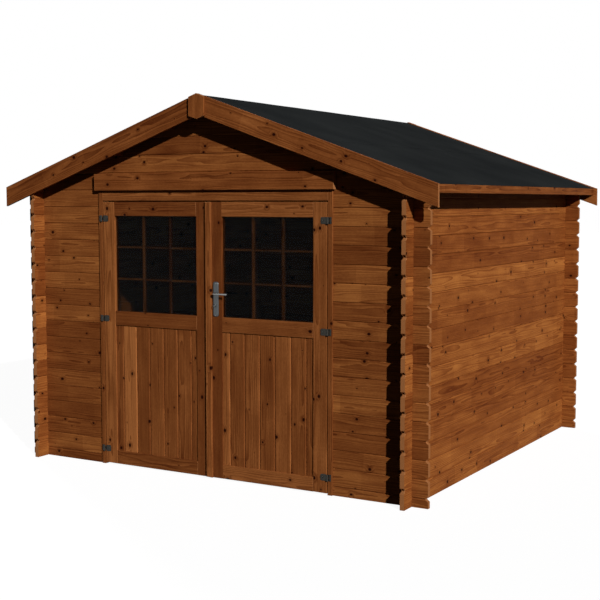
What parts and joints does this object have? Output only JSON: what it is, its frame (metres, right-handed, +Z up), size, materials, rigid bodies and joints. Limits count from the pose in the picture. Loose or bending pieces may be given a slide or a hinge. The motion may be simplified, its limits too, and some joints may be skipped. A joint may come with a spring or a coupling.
{
  "type": "garden house",
  "caption": "Garden house of crossed horizontal logs with a low felted gable roof, wide eaves and a glazed double door whose leaves swing outward.",
  "frame": {"origin": "centre of the plan at ground level, midway between the side walls and between the front and the back wall", "axes": "+X to the right as seen from in front of the door, +Y from the door to the back wall, +Z up"},
  "size_m": [3.294, 3.168, 2.4819],
  "materials": {
    "logs": "brown impregnated pine, planed, satin",
    "trim_boards": "brown impregnated pine, planed, satin",
    "door_timber": "brown impregnated pine, planed, satin",
    "roof_timber": "brown impregnated spruce, planed",
    "floor_timber": "planed spruce boards",
    "roofing_felt": "matt sanded bitumen felt",
    "window_glass": "clear float glass",
    "hinge_metal": "dark zinc plate",
    "lock_steel": "brushed"
  },
  "bodies": {
    "house": {"side_wall_left": "logs", "side_wall_right": "logs", "front_wall_left": "logs", "front_wall_right": "logs", "front_gable": "logs", "back_wall": "logs", "ridge_beam": "roof_timber", "purlin_left": "roof_timber", "purlin_right": "roof_timber", "roof_boards_left": "roof_timber", "roof_boards_right": "roof_timber", "roof_felt_left": "roofing_felt", "roof_felt_right": "roofing_felt", "barge_front_left": "trim_boards", "barge_front_right": "trim_boards", "barge_back_left": "trim_boards", "barge_back_right": "trim_boards", "apex_plate_front": "trim_boards", "apex_plate_back": "trim_boards", "eaves_board_left": "trim_boards", "eaves_board_right": "trim_boards", "floor_bearers": "floor_timber", "floor_boards": "floor_timber", "door_jamb_left": "door_timber", "door_jamb_right": "door_timber", "door_frame_head": "door_timber", "door_sill": "door_timber", "door_header": "trim_boards", "jamb_hinges_left": "hinge_metal", "jamb_hinges_right": "hinge_metal"},
    "left_door": {"left_leaf_frame": "door_timber", "left_leaf_panel": "door_timber", "left_leaf_glass": "window_glass", "left_leaf_hinges": "hinge_metal"},
    "right_door": {"right_leaf_frame": "door_timber", "right_leaf_panel": "door_timber", "right_leaf_glass": "window_glass", "right_leaf_hinges": "hinge_metal", "cover_strip": "door_timber", "lock_plate_outer": "lock_steel", "lock_plate_inner": "lock_steel", "door_key": "lock_steel"},
    "lever": {"lever_outer": "lock_steel", "lever_inner": "lock_steel"}
  },
  "joints": [
    {"name": "left_door_hinge", "type": "hinge", "parent": "house", "child": "left_door", "pos_m": [-0.879, -1.458, 0], "axis": [0, 0, -1], "range_deg": [0, 160]},
    {"name": "right_door_hinge", "type": "hinge", "parent": "house", "child": "right_door", "pos_m": [0.879, -1.458, 0], "axis": [0, 0, 1], "range_deg": [0, 160]},
    {"name": "lever_turn", "type": "hinge", "parent": "right_door", "child": "lever", "pos_m": [0.054, -1.451, 1.215], "axis": [0, 1, 0], "range_deg": [0, 40], "stiffness_Nm_per_rad": 0.8, "springref_deg": -34.38}
  ]
}
